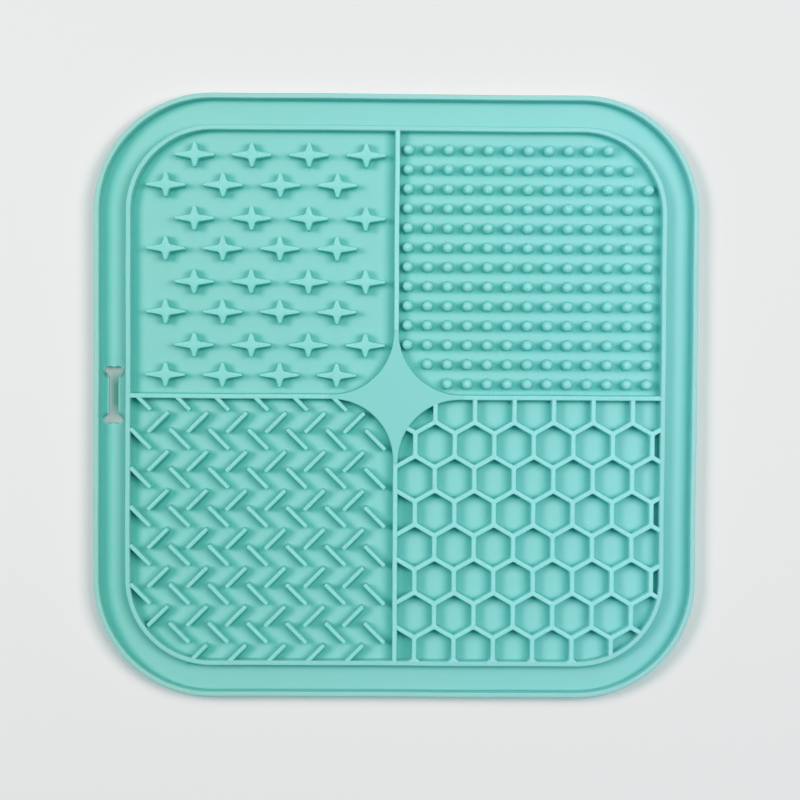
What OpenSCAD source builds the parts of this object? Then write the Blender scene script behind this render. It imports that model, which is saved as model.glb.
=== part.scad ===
// Square lick mat of moulded silicone: four textured wells inside a rimmed border.
// The origin is at the middle of the flat back, on the surface that the mat lies on.
// +X is to the right and +Y is away from a person who reads the mat from above.

/* [Mat] */
// Side of the square mat, outside the lip
mat_side = 200; // [180:1:230]
// Radius of the mat's outer corners
corner_r = 39; // [34:1:44]
// Thickness of the sheet under the wells and the gutter
sheet_t = 2; // [1.2:0.1:3]
// Height of the walls and ridges above the sheet
ridge_h = 4.2; // [3:0.1:6]
// Rounding of the upper edges of the walls
ridge_round = 0.35; // [0.1:0.05:0.6]

/* [Rim] */
// Width of the outer lip at its top
lip_w = 1.75; // [1.4:0.05:2.4]
// Height of the lip above the gutter
lip_h = 4.2; // [2.5:0.1:6]
// Rounding of the upper edges of the lip
lip_round = 0.5; // [0.2:0.05:0.65]
// Extra width of the lip at its foot
lip_foot = 0.5; // [0.1:0.05:1.5]
// Width of the gutter between the lip and the inner wall
gutter_w = 8.75; // [7:0.25:11]
// Width of the inner wall
wall_w = 1.65; // [1.3:0.05:2.2]

/* [Cross] */
// Width of the four dividers
divider_w = 1.6; // [1.2:0.05:2.2]
// Radius of the well corners round the middle star
middle_r = 20.5; // [16:0.5:24]

/* [Star well] */
// Length of a star from side to side
star_len = 13.1; // [11:0.1:14]
// Length of a star from top to bottom
star_tall = 8; // [7:0.1:9]
// Height of the stars above the sheet
star_h = 4.2; // [3:0.1:5]
// Radius of the rounded arm tips
star_tip_r = 0.4; // [0.2:0.05:0.5]
// Half the width of the notch square where the arms meet, along the length
star_notch_x = 1.3; // [1:0.05:1.8]
// The same across the length
star_notch_y = 1.4; // [1.1:0.05:1.7]
// Divider to the middle of the nearest star
star_side_gap = 9.45; // [8:0.05:11]
// Inner wall to the middle of the nearest star
star_rim_gap = 11.55; // [9:0.05:13]
// Inner wall to the middle of the top row
star_top_gap = 8.15; // [6.5:0.05:9.5]
// Divider to the middle of the lowest row
star_low_gap = 6.25; // [5.25:0.05:7.5]
// Step from a row down to the staggered row under it
star_stagger = 9.95; // [9:0.05:11]

/* [Nub well] */
// Diameter of a nub
nub_d = 3.5; // [2.6:0.1:4]
// Height of the nubs above the sheet
nub_h = 4.2; // [3:0.1:5]
// Height of a nub's rounded top
nub_dome_h = 1.2; // [0.6:0.1:1.6]
// Least gap between a nub and the wall of the well
nub_clear = 0.4; // [0.2:0.05:0.8]
// Divider to the middle of the nearest nub, sideways
nub_side_gap = 2.8; // [2.5:0.1:4]
// Divider to the middle of the nearest nub, upwards
nub_low_gap = 3.6; // [3.1:0.05:5]
// Inner wall to the middle of the nearest nub, sideways
nub_rim_gap = 4.55; // [3.5:0.05:6]
// Inner wall to the middle of the top row
nub_top_gap = 6; // [4:0.05:7]

/* [Herringbone well] */
// Length of a bar from end to end
bar_len = 9.6; // [8:0.1:11]
// Width of a bar
bar_w = 1.4; // [1:0.05:1.8]
// Divider to the middle of the first rising bar, sideways
slash_side_gap = 13.08; // [12:0.01:14]
// Divider to the middle of the first rising bar, downwards
slash_low_gap = 7.94; // [7:0.01:9]
// Inner wall to the middle of the last rising bar, sideways
slash_rim_gap = 9.2; // [8:0.05:11]
// Inner wall to the middle of the last rising bar, downwards
slash_end_gap = 1.75; // [1.2:0.05:3]
// Step from a rising bar to the falling bar beside it, sideways
bar_step_x = 7.12; // [6.6:0.01:7.6]
// Step from a rising bar to the falling bar beside it, upwards
bar_step_y = 7.36; // [7:0.01:7.6]

/* [Honeycomb well] */
// Distance between the middles of neighbouring cells
cell_pitch = 13.12; // [11:0.02:15]
// Thickness of the honeycomb web
web_w = 1.55; // [1.1:0.05:1.9]
// Divider to the middle of the first whole row of cells
cell_low_gap = 14.9; // [13:0.05:16]

/* [Hanging hole] */
// Length of the bone-shaped hole
hole_len = 19; // [15:0.5:24]
// Width of the hole along its shaft
hole_shaft_w = 3; // [2.5:0.1:3.6]
// Radius of the four knuckles of the bone
hole_knuckle_r = 1.65; // [1.2:0.05:1.8]
// Width of the hole across two knuckles
hole_end_w = 6; // [5:0.1:6.6]

/* [Hidden] */
$fn = 96;
overrun = 1;
half_share = 0.5;
quarter_turn = 90;
bar_angle = 45;

star_pairs = 4;
star_cols = 4;
nub_rows = 13;
nub_cols = 13;
bar_rows = 7;
bar_cols = 7;

// Widths from the outside in, and the square well quarter that is left
rim_w = lip_w + gutter_w + wall_w;
inner_half = mat_side * half_share - rim_w;
well_side = inner_half - divider_w * half_share;
well_r = corner_r - rim_w;

// Spacing of the four patterns, from the counts and the gaps at the ends
star_pitch_x = (well_side - star_side_gap - star_rim_gap) / (star_cols - half_share);
star_pitch_y = (well_side - star_top_gap - star_low_gap - star_stagger) / (star_pairs - 1);
nub_pitch_x = (well_side - nub_side_gap - nub_rim_gap) / (nub_cols - 1);
nub_pitch_y = (well_side - nub_low_gap - nub_top_gap) / (nub_rows - 1);
bar_pitch_x = (well_side - slash_side_gap - slash_rim_gap) / (bar_cols - 2);
bar_pitch_y = (well_side - slash_low_gap - slash_end_gap) / (bar_rows - 1);
row_pitch = cell_pitch * sin(60);
cell_edge = cell_pitch * tan(30);
cell_count = ceil(well_side / cell_pitch) + 1;
cell_row_count = ceil(well_side / row_pitch) + 1;

// How far a place in a well lies from the nearest wall, u and v counted from the divider corner
function inside_corner(du, dv, r) = r - norm([du, dv]);
function room(u, v) =
    u < middle_r && v < middle_r ? inside_corner(middle_r - u, middle_r - v, middle_r)
    : u > well_side - well_r && v > well_side - well_r
        ? inside_corner(u - well_side + well_r, v - well_side + well_r, well_r)
    : min(u, v, well_side - u, well_side - v);

function names(base, count) = [for (i = [1 : count]) str(base, i)];

silicone = [0.50, 0.83, 0.79];
silicone_pale = [0.60, 0.88, 0.85];

// Flat outlines

module rounded_square(side, r) {
    square([side - 2 * r, side], center = true);
    square([side, side - 2 * r], center = true);
    for (sx = [-1, 1], sy = [-1, 1])
        translate([sx, sy] * (side * half_share - r)) circle(r);
}

// What a rounded corner takes off a square corner, with the corner at the origin
module corner_cut(r) {
    difference() {
        translate([-overrun, -overrun]) square(r + overrun);
        translate([r, r]) circle(r);
    }
}

// Outline of one well, from the divider corner outwards
module well_outline() {
    difference() {
        square(well_side);
        corner_cut(middle_r);
        translate([well_side, well_side]) rotate(2 * quarter_turn) corner_cut(well_r);
    }
}

// Upright bone: two knuckles at each end of a straight shaft
module bone() {
    knuckle_x = hole_end_w * half_share - hole_knuckle_r;
    knuckle_y = hole_len * half_share - hole_knuckle_r;
    square([hole_shaft_w, 2 * knuckle_y], center = true);
    for (sx = [-1, 1], sy = [-1, 1])
        translate([sx * knuckle_x, sy * knuckle_y]) circle(hole_knuckle_r);
}

module bone_at_gutter() {
    translate([-mat_side * half_share + lip_w + gutter_w * half_share, 0]) bone();
}

// Cross-section of a wall that stands on y = 0: width w, height h, upper edges rounded by r
module wall_section(w, h, r, foot = 0) {
    polygon([[0, 0], [w + foot, 0], [w, h - r], [0, h - r]]);
    for (x = [r, w - r]) translate([x, h - r]) circle(r);
    translate([r, h - r]) square([w - 2 * r, r]);
}

module star_outline() {
    tip_x = star_len * half_share - star_tip_r;
    tip_y = star_tall * half_share - star_tip_r;
    polygon([
        [tip_x, star_tip_r], [star_notch_x, star_notch_y], [star_tip_r, tip_y],
        [-star_tip_r, tip_y], [-star_notch_x, star_notch_y], [-tip_x, star_tip_r],
        [-tip_x, -star_tip_r], [-star_notch_x, -star_notch_y], [-star_tip_r, -tip_y],
        [star_tip_r, -tip_y], [star_notch_x, -star_notch_y], [tip_x, -star_tip_r]
    ]);
    for (p = [[tip_x, 0], [-tip_x, 0], [0, tip_y], [0, -tip_y]])
        translate(p) circle(star_tip_r);
}

module bar_outline(angle) {
    straight = bar_len - bar_w;
    rotate(angle) {
        square([straight, bar_w], center = true);
        for (s = [-half_share, half_share]) translate([s * straight, 0]) circle(bar_w * half_share);
    }
}

// One strut of the web, from the origin along +X, mitred to meet two others at each end
module strut() {
    w = web_w * half_share;
    mitre = w * tan(30);
    polygon([
        [0, 0], [mitre, w], [cell_edge - mitre, w],
        [cell_edge, 0], [cell_edge - mitre, -w], [mitre, -w]
    ]);
}

// Placing

// A wall profile carried round the mat, its outer face inset from the mat's edge
module round_the_rim(inset) {
    side = mat_side - 2 * inset;
    r = corner_r - inset;
    middle = side * half_share - r;
    for (turn = [0 : 3]) rotate(turn * quarter_turn) {
        translate([middle, middle]) rotate_extrude(angle = quarter_turn)
            translate([r, 0]) mirror([1, 0]) children();
        translate([middle + r, middle]) rotate([quarter_turn, 0, 0])
            linear_extrude(2 * middle) mirror([1, 0]) children();
    }
}

// A well's own axes, u towards east or west and v towards north or south
module in_well(east, north) {
    mirror([east ? 0 : 1, 0, 0]) mirror([0, north ? 0 : 1, 0])
        translate([divider_w * half_share, divider_w * half_share, sheet_t]) children();
}

// Sub-parts

module inner_outline() {
    rounded_square(2 * (inner_half + wall_w), well_r + wall_w);
}

// The sheet inside the gutter, which carries the wall and the wells
module base_sheet() {
    color(silicone) linear_extrude(sheet_t) inner_outline();
}

// The sheet round it: the gutter's floor and the foot of the lip
module rim_channel() {
    color(silicone) linear_extrude(sheet_t) difference() {
        rounded_square(mat_side, corner_r);
        inner_outline();
        bone_at_gutter();
    }
}

module outer_lip() {
    color(silicone_pale) translate([0, 0, sheet_t]) round_the_rim(0)
        wall_section(lip_w, lip_h, lip_round, lip_foot);
}

module inner_wall() {
    color(silicone_pale) translate([0, 0, sheet_t]) round_the_rim(lip_w + gutter_w)
        wall_section(wall_w, ridge_h, ridge_round);
}

// A divider from the middle star to the inner wall, turned from east by quarter turns
module divider(turn) {
    color(silicone_pale) rotate(turn * quarter_turn)
        translate([divider_w * half_share + middle_r, divider_w * half_share, sheet_t])
        rotate([quarter_turn, 0, quarter_turn]) mirror([1, 0, 0])
        linear_extrude(well_side - middle_r) wall_section(divider_w, ridge_h, ridge_round);
}

// Flat four-pointed plate left between the rounded well corners
module middle_star() {
    reach = middle_r + divider_w * half_share;
    color(silicone_pale) translate([0, 0, sheet_t]) linear_extrude(ridge_h) difference() {
        square(2 * reach, center = true);
        for (sx = [-1, 1], sy = [-1, 1]) translate([sx, sy] * reach) circle(middle_r);
    }
}

// Rows count from the north; even rows are staggered half a pitch towards the rim
module star_row(row) {
    pair = floor((row - 1) * half_share);
    staggered = 1 - row % 2;
    v = well_side - star_top_gap - pair * star_pitch_y - staggered * star_stagger;
    color(silicone_pale) in_well(false, true) for (i = [0 : star_cols - 1]) {
        u = star_side_gap + (i + staggered * half_share) * star_pitch_x;
        if (room(u, v) >= star_tall * half_share)
            translate([u, v, 0]) linear_extrude(star_h) star_outline();
    }
}

// A peg with a domed top, one solid of revolution
module nub() {
    r = nub_d * half_share;
    shoulder = nub_h - nub_dome_h;
    dome_r = (r * r + nub_dome_h * nub_dome_h) / (2 * nub_dome_h);
    rotate_extrude() {
        square([r, shoulder]);
        intersection() {
            translate([0, shoulder + nub_dome_h - dome_r]) circle(dome_r);
            translate([0, shoulder]) square([r, nub_dome_h]);
        }
    }
}

module nub_row(row) {
    v = well_side - nub_top_gap - (row - 1) * nub_pitch_y;
    color(silicone_pale) in_well(true, true) for (i = [0 : nub_cols - 1]) {
        u = nub_side_gap + i * nub_pitch_x;
        if (room(u, v) >= nub_d * half_share + nub_clear) translate([u, v, 0]) nub();
    }
}

// Bars whose middles lie inside the well, cut where they run into its wall
module bar_row(first_u, v, angle) {
    color(silicone_pale) in_well(false, false) linear_extrude(ridge_h) intersection() {
        union() for (i = [0 : bar_cols - 1]) {
            u = first_u + i * bar_pitch_x;
            if (room(u, v) > 0) translate([u, v]) bar_outline(angle);
        }
        well_outline();
    }
}

module slash_row(row) {
    bar_row(slash_side_gap, slash_low_gap + (row - 1) * bar_pitch_y, bar_angle);
}

module backslash_row(row) {
    bar_row(
        slash_side_gap - bar_step_x,
        slash_low_gap - bar_step_y + (row - 1) * bar_pitch_y,
        -bar_angle
    );
}

// Every strut that leaves a cell's corner in one direction. The lattice is centred on the
// divider between the two lower wells, with cells of odd rows centred on it.
module struts(corner_u_share, corner_v_share, angle) {
    color(silicone_pale) in_well(true, false) linear_extrude(ridge_h) intersection() {
        for (row = [0 : cell_row_count], i = [0 : cell_count]) {
            odd = row % 2;
            u = -divider_w * half_share + (i + (1 - odd) * half_share) * cell_pitch;
            v = cell_low_gap + (row - 1) * row_pitch;
            translate([u + corner_u_share * cell_pitch, v + corner_v_share * cell_edge])
                rotate(angle) strut();
        }
        well_outline();
    }
}

module honeycomb_posts() {
    struts(half_share, -half_share, quarter_turn);
}

module honeycomb_rises() {
    struts(0, 1, -30);
}

module honeycomb_falls() {
    struts(-half_share, half_share, 30);
}

base_sheet();
rim_channel();
outer_lip();
inner_wall();
divider(1);  // divider_north
divider(3);  // divider_south
divider(0);  // divider_east
divider(2);  // divider_west
middle_star();
for (i = [1 : 2 * star_pairs]) star_row(i);
for (i = [1 : nub_rows]) nub_row(i);
for (i = [1 : bar_rows]) slash_row(i);
for (i = [1 : bar_rows]) backslash_row(i);
honeycomb_posts();
honeycomb_rises();
honeycomb_falls();
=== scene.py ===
"""Looks of the square silicone lick mat: satin mouldings with rounded edges on a pale table."""

import math

import bmesh
import bpy
import numpy as np
from mathutils import Matrix, Vector


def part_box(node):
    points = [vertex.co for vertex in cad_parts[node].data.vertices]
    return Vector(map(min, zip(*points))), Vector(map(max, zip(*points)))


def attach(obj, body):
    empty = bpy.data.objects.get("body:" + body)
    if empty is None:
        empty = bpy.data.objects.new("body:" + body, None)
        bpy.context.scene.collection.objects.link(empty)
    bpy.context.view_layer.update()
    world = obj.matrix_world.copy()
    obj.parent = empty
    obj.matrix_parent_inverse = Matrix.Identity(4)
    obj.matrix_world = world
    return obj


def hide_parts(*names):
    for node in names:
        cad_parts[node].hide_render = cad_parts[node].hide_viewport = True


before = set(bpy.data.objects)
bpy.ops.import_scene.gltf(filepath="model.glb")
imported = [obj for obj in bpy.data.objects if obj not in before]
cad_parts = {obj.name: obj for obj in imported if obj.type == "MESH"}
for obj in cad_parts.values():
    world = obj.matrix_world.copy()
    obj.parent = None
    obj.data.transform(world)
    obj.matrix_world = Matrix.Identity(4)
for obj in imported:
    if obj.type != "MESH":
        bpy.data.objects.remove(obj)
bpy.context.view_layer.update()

MM = 0.001


def top(node):
    """Height of a node's upper side in millimetres."""
    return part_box(node)[1][2] / MM


# Heights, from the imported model

FLOOR_Z = top("base_sheet")
RIDGE_Z = top("inner_wall")
LIP_Z = top("outer_lip")
STAR_Z = top("star_row_1")
NUB_Z = top("nub_row_1")

# Plan sizes in millimetres. Every rounded square is told by its distance from a core square.

CORE = 61.0
EDGE_R = 39.0
LIP_W = 1.75
GUTTER_W = 8.75
WALL_W = 1.65
HALF_DIVIDER = 0.8
WELL_SIDE = 87.05
WELL_R = 26.85
MIDDLE_R = 20.5
WALL_OUT = EDGE_R - LIP_W - GUTTER_W
WALL_IN = WALL_OUT - WALL_W

# Patterns: first place and pitch along u and v, which run from a well's divider corner outwards.
# A pitch shares out what the margins at both ends leave of the well's side.

STAR_U, STAR_PU = 9.52, (WELL_SIDE - 9.45 - 11.55) / 3.5
STAR_V, STAR_PV = 6.25, (WELL_SIDE - 8.15 - 6.25 - 9.95) / 3
STAR_STEP = 9.95
NUB_U, NUB_PU = 2.88, (WELL_SIDE - 2.8 - 4.55) / 12
NUB_V, NUB_PV = 3.7, (WELL_SIDE - 3.6 - 6.0) / 12
NUB_R, NUB_GAP = 1.75, 0.4
BAR_PU, BAR_PV = (WELL_SIDE - 13.08 - 9.2) / 5, (WELL_SIDE - 7.94 - 1.75) / 6
BARS = (("slash", 13.08, 7.94, 45), ("backslash", 5.96, 0.58, -45))
BAR_HALF_L, BAR_HALF_W = 4.8, 0.7
SIN_60 = math.sin(math.radians(60))
CELL = 13.12
CELL_EDGE = CELL * math.tan(math.radians(30))
CELL_V, CELL_PV = 14.9, CELL * SIN_60
STRUT_HALF_W = 0.775


def room(u, v):
    """Distance from a place in a well to its nearest wall, negative inside the wall. The well's two
    round corners measure from their own centres."""
    inner = MIDDLE_R - np.hypot(MIDDLE_R - u, MIDDLE_R - v)
    edge_u, edge_v = u - WELL_SIDE + WELL_R, v - WELL_SIDE + WELL_R
    outer = WELL_R - np.hypot(edge_u, edge_v)
    straight = np.minimum(np.minimum(u, v), np.minimum(WELL_SIDE - u, WELL_SIDE - v))
    straight = np.where((u < MIDDLE_R) & (v < MIDDLE_R), inner, straight)
    return np.where((edge_u > 0) & (edge_v > 0), outer, straight)


def heading(degrees):
    """Cosine and sine of a direction."""
    return math.cos(math.radians(degrees)), math.sin(math.radians(degrees))


# Camera, at the photograph's angle

FRAME_PX, SENSOR_MM = 800.0, 36.0


def aim_camera(place_mm, centre_px, turn_deg, pixels_per_mm):
    """A camera that stands at a place, looks so that the mat's middle falls on a pixel of the
    square frame, is rolled about its axis, and shows so many pixels a millimetre at the lip."""
    data = bpy.data.cameras.new("Camera")
    camera = bpy.data.objects.new("Camera", data)
    bpy.context.collection.objects.link(camera)
    focal_px = pixels_per_mm * (place_mm[2] - LIP_Z)
    data.sensor_width = SENSOR_MM
    data.lens = focal_px * SENSOR_MM / FRAME_PX
    data.clip_start, data.clip_end = 0.05, 20.0
    back = (Vector(place_mm) - Vector((0.0, 0.0, LIP_Z))).normalized()
    right = Vector((0.0, 1.0, 0.0)).cross(back).normalized()
    up = back.cross(right)
    cos, sin = heading(turn_deg)
    right, up = right * cos + up * sin, up * cos - right * sin
    # A small turn brings the middle from the frame's centre to its own pixel
    across, down = ((pixel - FRAME_PX / 2) / focal_px for pixel in centre_px)
    back = (back + right * across - up * down).normalized()
    right = up.cross(back).normalized()
    up = back.cross(right)
    place = [mm * MM for mm in place_mm]
    camera.matrix_world = Matrix((*zip(right, up, back, place), (0.0, 0.0, 0.0, 1.0)))
    bpy.context.scene.camera = camera


aim_camera(place_mm=(-8.3, 21.3, 650.0), centre_px=(396.0, 397.2), turn_deg=0.4,
           pixels_per_mm=3.0265)


# Meshes

SHRINK = 0.9986
LONG_WAVE, SHORT_WAVE = 0.05, 0.03
SHARP_DEG, WEB_SHARP_DEG = 38, 62


def settle(points):
    """Soft silicone never lies quite straight: on each axis a long and a short sine wave shift
    every place by up to a tenth of a millimetre in plan, the same for all pieces, inside a mat
    that is a shade smaller."""
    x, y, z = points.T
    out_x = (SHRINK * x + LONG_WAVE * np.sin(0.071 * y + 0.9)
             + SHORT_WAVE * np.sin(0.163 * y - 0.04 * x + 2.1))
    out_y = (SHRINK * y + LONG_WAVE * np.sin(0.064 * x + 2.6)
             + SHORT_WAVE * np.sin(0.149 * x + 0.05 * y + 0.4))
    return np.stack([out_x, out_y, z], -1)


def build(name, parts, nodes, material, flat=False, tone=0.0):
    """One piece from parts of (points, four-cornered faces, three-cornered faces) in millimetres,
    its faces turned outwards by the sign of the volume they enclose. Flat and tone say how the
    painted shade is marked on it."""
    points, quads, tris, base = [], [], [], 0
    for p, q, t in parts:
        points.append(p)
        quads.append(q + base)
        tris.append(t + base)
        base += len(p)
    points = settle(np.concatenate(points))
    quads = np.concatenate(quads).astype(np.int32)
    tris = np.concatenate(tris).astype(np.int32)
    a, b, c, d = (points[quads[:, k]] for k in range(4))
    volume = np.sum(a * np.cross(b, c)) + np.sum(a * np.cross(c, d))
    if len(tris):
        a, b, c = (points[tris[:, k]] for k in range(3))
        volume += np.sum(a * np.cross(b, c))
    if volume < 0:
        quads, tris = quads[:, ::-1], tris[:, ::-1]
    mesh = bpy.data.meshes.new(name)
    mesh.vertices.add(len(points))
    mesh.vertices.foreach_set("co", (points * MM).ravel())
    corners = np.concatenate([quads.ravel(), tris.ravel()])
    mesh.loops.add(len(corners))
    mesh.loops.foreach_set("vertex_index", corners)
    starts = np.concatenate([np.arange(len(quads)) * 4,
                             len(quads) * 4 + np.arange(len(tris)) * 3])
    mesh.polygons.add(len(starts))
    mesh.polygons.foreach_set("loop_start", starts.astype(np.int32))
    mesh.update(calc_edges=True)
    mesh.validate()
    mark_painted_shade(mesh, points, flat, tone)
    mesh.shade_smooth()
    mesh.set_sharp_from_angle(angle=math.radians(SHARP_DEG))
    mesh.materials.append(material)
    piece = bpy.data.objects.new(name, mesh)
    bpy.context.collection.objects.link(piece)
    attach(piece, "root")
    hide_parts(*nodes)
    return piece


NO_TRIS = np.zeros((0, 3), np.int64)


def net(rows, cols, wrap_rows, wrap_cols):
    """Four-cornered faces between neighbouring points of a grid, joined end to end where it
    wraps."""
    r = np.arange(rows if wrap_rows else rows - 1)[:, None]
    c = np.arange(cols if wrap_cols else cols - 1)[None, :]
    here, there = r * cols, (r + 1) % rows * cols
    faces = np.stack([here + c, here + (c + 1) % cols, there + (c + 1) % cols, there + c], -1)
    return faces.reshape(-1, 4)


def fan(ring, middle, flip):
    """Three-cornered faces from a ring of points to one in the middle."""
    faces = np.stack([ring, np.roll(ring, -1), np.full_like(ring, middle)], -1)
    return faces[:, ::-1] if flip else faces


def swept(path, normal, profile):
    """A grid of places, a row for each point of the path and a column for each of the profile: the
    path's point, plus the profile's first value along the path's outward normal, plus its second
    value as height."""
    grid = np.empty((len(path), len(profile), 3))
    grid[..., :2] = path[:, None] + normal[:, None] * profile[None, :, :1]
    grid[..., 2] = profile[None, :, 1]
    return grid


def hoop(grid):
    """A surface over a grid of places that closes on itself both ways."""
    return grid.reshape(-1, 3), net(*grid.shape[:2], True, True), NO_TRIS


def tube(rings, first, last):
    """Rings of points joined one to the next, and a fan from the first and from the last ring to
    the middle given for it; an end without a middle stays open."""
    rows, cols = rings.shape[:2]
    points, tris = [rings.reshape(-1, 3)], [NO_TRIS]
    for row, middle, flip in ((0, first, True), (rows - 1, last, False)):
        if middle is not None:
            tris.append(fan(np.arange(cols) + row * cols, rows * cols + len(points) - 1, flip))
            points.append(np.reshape(middle, (1, 3)))
    return np.concatenate(points), net(rows, cols, False, True), np.concatenate(tris)


def raised(outline, normal, profile):
    """A solid on an outline: rings follow the profile from its foot to its top edge, each ring the
    outline shifted along its normals, and a fan to the middle closes both ends."""
    middle = outline.mean(0)
    rings = swept(outline, normal, profile).swapaxes(0, 1)
    return tube(rings, [*middle, profile[0, 1]], [*middle, profile[-1, 1]])


def unit(v):
    """Vectors scaled to length one."""
    return v / np.linalg.norm(v, axis=-1, keepdims=True)


def rounded(corners, radii, steps):
    """Outline of an anticlockwise polygon whose corners are arcs, with its outward normals. Each
    arc turns the incoming edge's normal to the outgoing edge's, about a centre one radius away."""
    c = np.asarray(corners, float)
    r = np.broadcast_to(np.asarray(radii, float), len(c))
    before, after = unit(c - np.roll(c, 1, 0)), unit(np.roll(c, -1, 0) - c)
    cross = before[:, 0] * after[:, 1] - before[:, 1] * after[:, 0]
    bend = np.arctan2(cross, (before * after).sum(1))
    side = np.sign(bend) * r
    across = np.stack([before[:, 1], -before[:, 0]], -1)
    centre = c - before * (r * np.tan(np.abs(bend) / 2))[:, None] - side[:, None] * across
    angle = bend[:, None] * np.linspace(0, 1, steps)
    cos, sin = np.cos(angle), np.sin(angle)
    x, y = across[:, :1], across[:, 1:]
    normal = np.stack([cos * x - sin * y, sin * x + cos * y], -1)
    points = centre[:, None] + side[:, None, None] * normal
    return points.reshape(-1, 2), normal.reshape(-1, 2)


def refined(points, normal, step):
    """The same closed outline with extra points: a side longer than the step is cut into the
    least number of equal parts that are no longer than it."""
    closed = np.concatenate([points, points[:1]])
    turns = np.concatenate([normal, normal[:1]])
    along = np.concatenate([[0], np.cumsum(np.linalg.norm(np.diff(closed, axis=0), axis=1))])
    gaps = np.diff(along)
    parts = np.maximum(np.ceil(gaps / step), 1).astype(int)
    part = np.arange(parts.sum()) - np.repeat(np.cumsum(parts) - parts, parts)
    keep = np.repeat(along[:-1], parts) + np.repeat(gaps, parts) * part / np.repeat(parts, parts)
    place = np.stack([np.interp(keep, along, closed[:, k]) for k in (0, 1)], -1)
    turn = np.stack([np.interp(keep, along, turns[:, k]) for k in (0, 1)], -1)
    return place, unit(turn)


def turned(corners, quarter):
    """Places turned about the mat's middle by a number of quarter turns."""
    c, s = (round(way) for way in heading(90 * quarter))
    return [(x * c - y * s, x * s + y * c) for x, y in corners]


def four_quarters(quarter):
    """A closed outline from its first quarter: the quarter and its three mirror images, every
    second one walked backwards, each without the point that the next one starts with."""
    loops = []
    for k, flip in enumerate(((1, 1), (-1, 1), (-1, -1), (1, -1))):
        loop = quarter * np.resize(flip, quarter.shape[1])
        loops.append((loop[::-1] if k % 2 else loop)[:-1])
    return np.concatenate(loops)


def rounding(x, z, to_x, to_z, steps, from_flat):
    """Quarter circle in the corner of a flat and an upright that would meet at x and z. Its centre
    lies to_x and to_z away from there, and it runs from the flat to the upright or back."""
    a = np.linspace(0, math.pi / 2, steps)
    across, up = 1 - np.sin(a), 1 - np.cos(a)
    if not from_flat:
        across, up = up, across
    return np.stack([x + to_x * across, z + to_z * up], -1)


LEAN, SINK, FLAT_RING = 0.03, 0.12, 0.05


def edge(top_z, round_r, fillet, steps=4):
    """Side of a moulded ridge from its sunk foot to its top: a small hollow fillet, a side that
    leans in a little, a quarter circle over the upper edge, and a last ring on the flat."""
    hollow = rounding(0, FLOOR_Z, fillet, fillet, steps, True)
    over = rounding(-LEAN, top_z, -round_r, -round_r, steps, False)
    flat = [[-LEAN - round_r - FLAT_RING, top_z]]
    return np.concatenate([[[fillet, FLOOR_Z - SINK]], hollow, over, flat])


def core_square(side_steps, corner_steps):
    """The path that every rim profile is carried along: a square whose corners turn the normal
    through quarter circles, so that a distance along the normal gives a rounded square."""
    a = np.linspace(0, math.pi / 2, corner_steps, endpoint=False)
    s = np.linspace(-CORE, CORE, side_steps, endpoint=False)
    side = np.stack([np.full_like(s, CORE), s, np.ones_like(s), np.zeros_like(s)], -1)
    corner = np.stack([np.full_like(a, CORE), np.full_like(a, CORE), np.cos(a), np.sin(a)], -1)
    x, y, nx, ny = np.concatenate([side, corner]).T
    turns = [(x, y, nx, ny), (-y, x, -ny, nx), (-x, -y, -nx, -ny), (y, -x, ny, -nx)]
    path = np.concatenate([np.stack(t, -1) for t in turns])
    return path[:, :2], path[:, 2:]


# Painted shade

GRID = 0.3
LAMP_AZIMUTH = 15.0
WEST, EAST, NORTH = 180 - LAMP_AZIMUTH, LAMP_AZIMUTH, 90

# A star's two pairs of arms: reach, half width at the middle, and what each millimetre takes off
STAR_ARMS = ((6.5, 1.42, 0.163), (4.0, 1.52, 0.27))

# Painted shadows: azimuth of the light, reach, length of the fading end, and share of the painted
# shade
WEST_SHADE, EAST_SHADE = (WEST, 4.3, 2.3, 0.68), (EAST, 4.3, 2.9, 0.70)
LIP_SHADE = (WEST, 5.4, 2.3, 0.8)
FOOT_SHADES = ((WEST, 1.3, 1.2, 0.25), (EAST, 1.3, 1.2, 0.2), (NORTH, 1.7, 1.3, 0.8))
DEEPEST_SHADE = 1.6

# What each millimetre from the middle adds to a side's shades, and how much stronger or weaker
# they are in the gutter west and east of the wells
SIDE_TREND = 0.0045
WEST_GUTTER, EAST_GUTTER = 1.2, 0.85

# On a ridge the painted shade starts below its top and is full above its foot, so its sides darken
# downwards; sunk parts and undersides have none
UNSHADED_TOP, SHADED_FOOT, SUNK = 0.45, 0.3, 0.2


def nearest(value, first, pitch, count):
    """The nearest of evenly spaced places, and the way from it."""
    place = first + pitch * np.clip(np.round((value - first) / pitch), 0, count - 1)
    return place, value - place


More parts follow.
